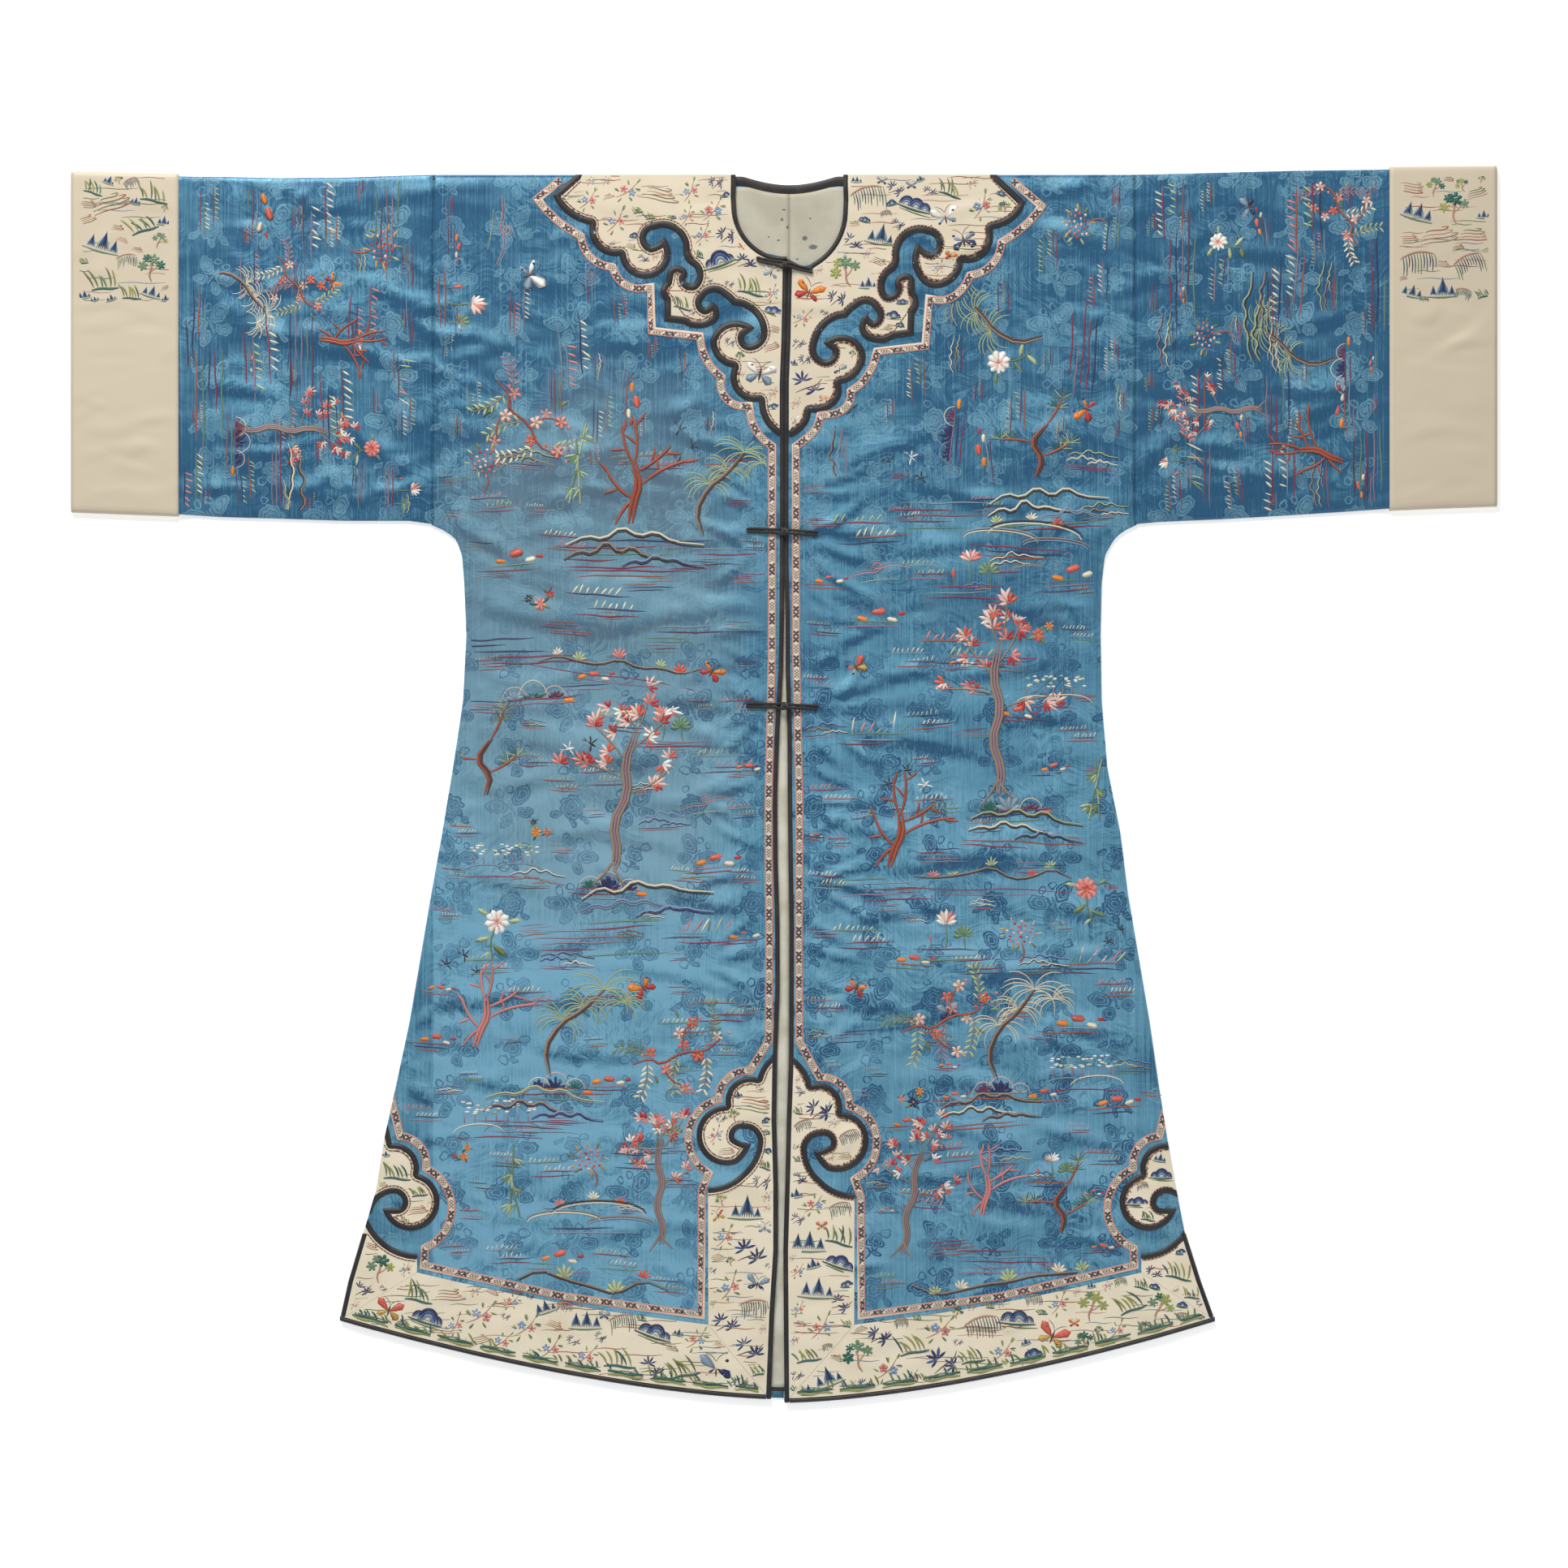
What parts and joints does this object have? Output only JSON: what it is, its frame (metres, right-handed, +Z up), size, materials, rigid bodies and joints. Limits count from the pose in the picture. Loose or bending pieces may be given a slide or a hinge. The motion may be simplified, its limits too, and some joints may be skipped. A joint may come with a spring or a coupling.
{
  "type": "embroidered silk surcoat",
  "caption": "Blue silk damask surcoat laid flat, wide sleeves with cream cuffs, cloud collar and ruyi borders in cream silk, black satin bindings, woven ribbon and corded frogs.",
  "frame": {"origin": "centre of the garment's footprint on the surface it lies on", "axes": "+Z up out of the front, +Y from the hem towards the neck, +X towards the viewer's right sleeve as seen from the front"},
  "size_m": [1.3, 1.128, 0.0159],
  "materials": {
    "silk_blue": "blue damask-woven satin silk, soft satin sheen, coloured silk embroidery",
    "silk_cream": "cream satin silk with fine coloured embroidery, soft sheen",
    "satin_black": "folded black satin binding",
    "ribbon_weave": "woven silk ribbon with small florets and pink edges",
    "lining_silk": "plain-woven pale lining, matt, lightly stained",
    "cord_black": "black corded silk frogs with ball knots"
  },
  "bodies": {
    "root": {"body_left": "silk_blue", "sleeve_left": "silk_blue", "cuff_left": "silk_cream", "collar_left": "silk_cream", "front_border_left": "silk_cream", "hem_border_left": "silk_cream", "side_border_left": "silk_cream", "side_head_left": "silk_cream", "collar_binding_left": "satin_black", "neck_binding_left": "satin_black", "front_binding_left": "satin_black", "front_head_binding_left": "satin_black", "side_border_binding_left": "satin_black", "side_head_binding_left": "satin_black", "hem_binding_left": "satin_black", "vent_binding_left": "satin_black", "back_hem_binding_left": "satin_black", "ribbon_left": "ribbon_weave", "lining_left": "lining_silk", "body_right": "silk_blue", "sleeve_right": "silk_blue", "cuff_right": "silk_cream", "collar_right": "silk_cream", "front_border_right": "silk_cream", "hem_border_right": "silk_cream", "side_border_right": "silk_cream", "side_head_right": "silk_cream", "collar_binding_right": "satin_black", "neck_binding_right": "satin_black", "front_binding_right": "satin_black", "front_head_binding_right": "satin_black", "side_border_binding_right": "satin_black", "side_head_binding_right": "satin_black", "hem_binding_right": "satin_black", "vent_binding_right": "satin_black", "back_hem_binding_right": "satin_black", "ribbon_right": "ribbon_weave", "lining_right": "lining_silk", "neck_binding_back": "satin_black", "frog_neck_loop": "cord_black", "frog_neck_knot": "cord_black", "frog_chest_loop": "cord_black", "frog_chest_knot": "cord_black", "frog_waist_loop": "cord_black", "frog_waist_knot": "cord_black"}
  },
  "joints": []
}
